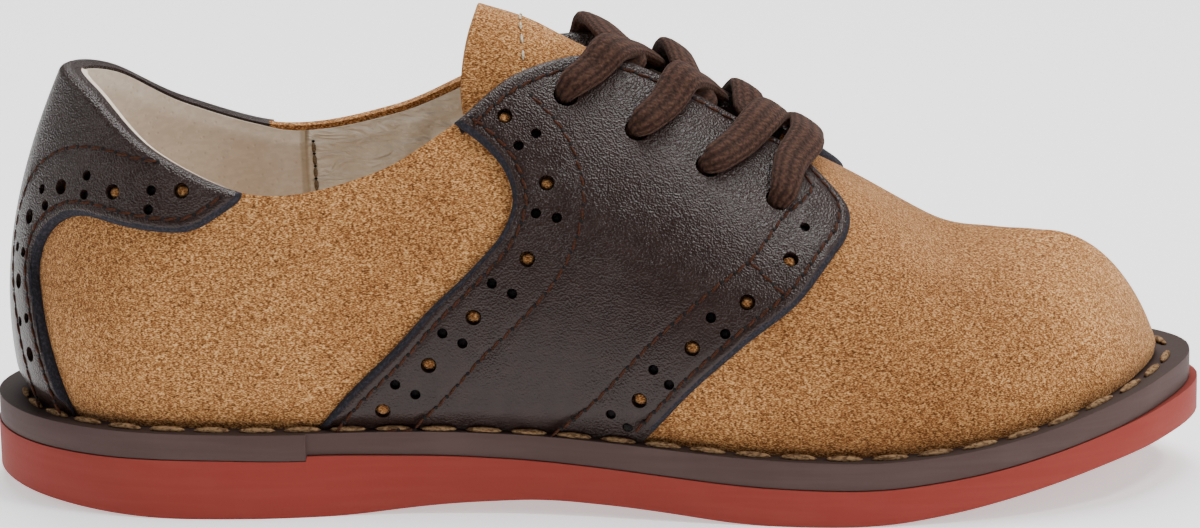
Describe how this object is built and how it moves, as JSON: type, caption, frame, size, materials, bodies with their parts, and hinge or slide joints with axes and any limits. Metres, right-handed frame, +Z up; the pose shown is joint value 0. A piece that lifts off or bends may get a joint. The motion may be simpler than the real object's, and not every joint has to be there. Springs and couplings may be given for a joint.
{
  "type": "child's saddle oxford shoe",
  "caption": "Child's low lace-up shoe in tan buck suede with a dark brown leather saddle and heel counter, a brown welt and a brick red rubber sole.",
  "frame": {"origin": "on the floor, midway along and across the sole", "axes": "+X from heel to toe, +Y to the outer (lateral) side of the foot, +Z up"},
  "size_m": [0.174, 0.0661, 0.0682],
  "materials": {
    "tan_suede": "napped buck suede, matte",
    "brown_leather": "smooth pebbled leather with a soft shine",
    "beige_leather": "matte lining leather",
    "brown_rubber": "matte, slightly mauve brown",
    "red_rubber": "matte brick red",
    "brown_cotton": "flat woven cotton, matte"
  },
  "bodies": {
    "root": {"upper": "tan_suede", "tongue": "tan_suede", "saddle_inner": "brown_leather", "saddle_outer": "brown_leather", "counter": "brown_leather", "insole": "beige_leather", "welt": "brown_rubber", "outsole": "red_rubber", "lace_bar": "brown_cotton", "lace_cross_1": "brown_cotton", "lace_cross_2": "brown_cotton", "lace_cross_3": "brown_cotton"}
  },
  "joints": []
}
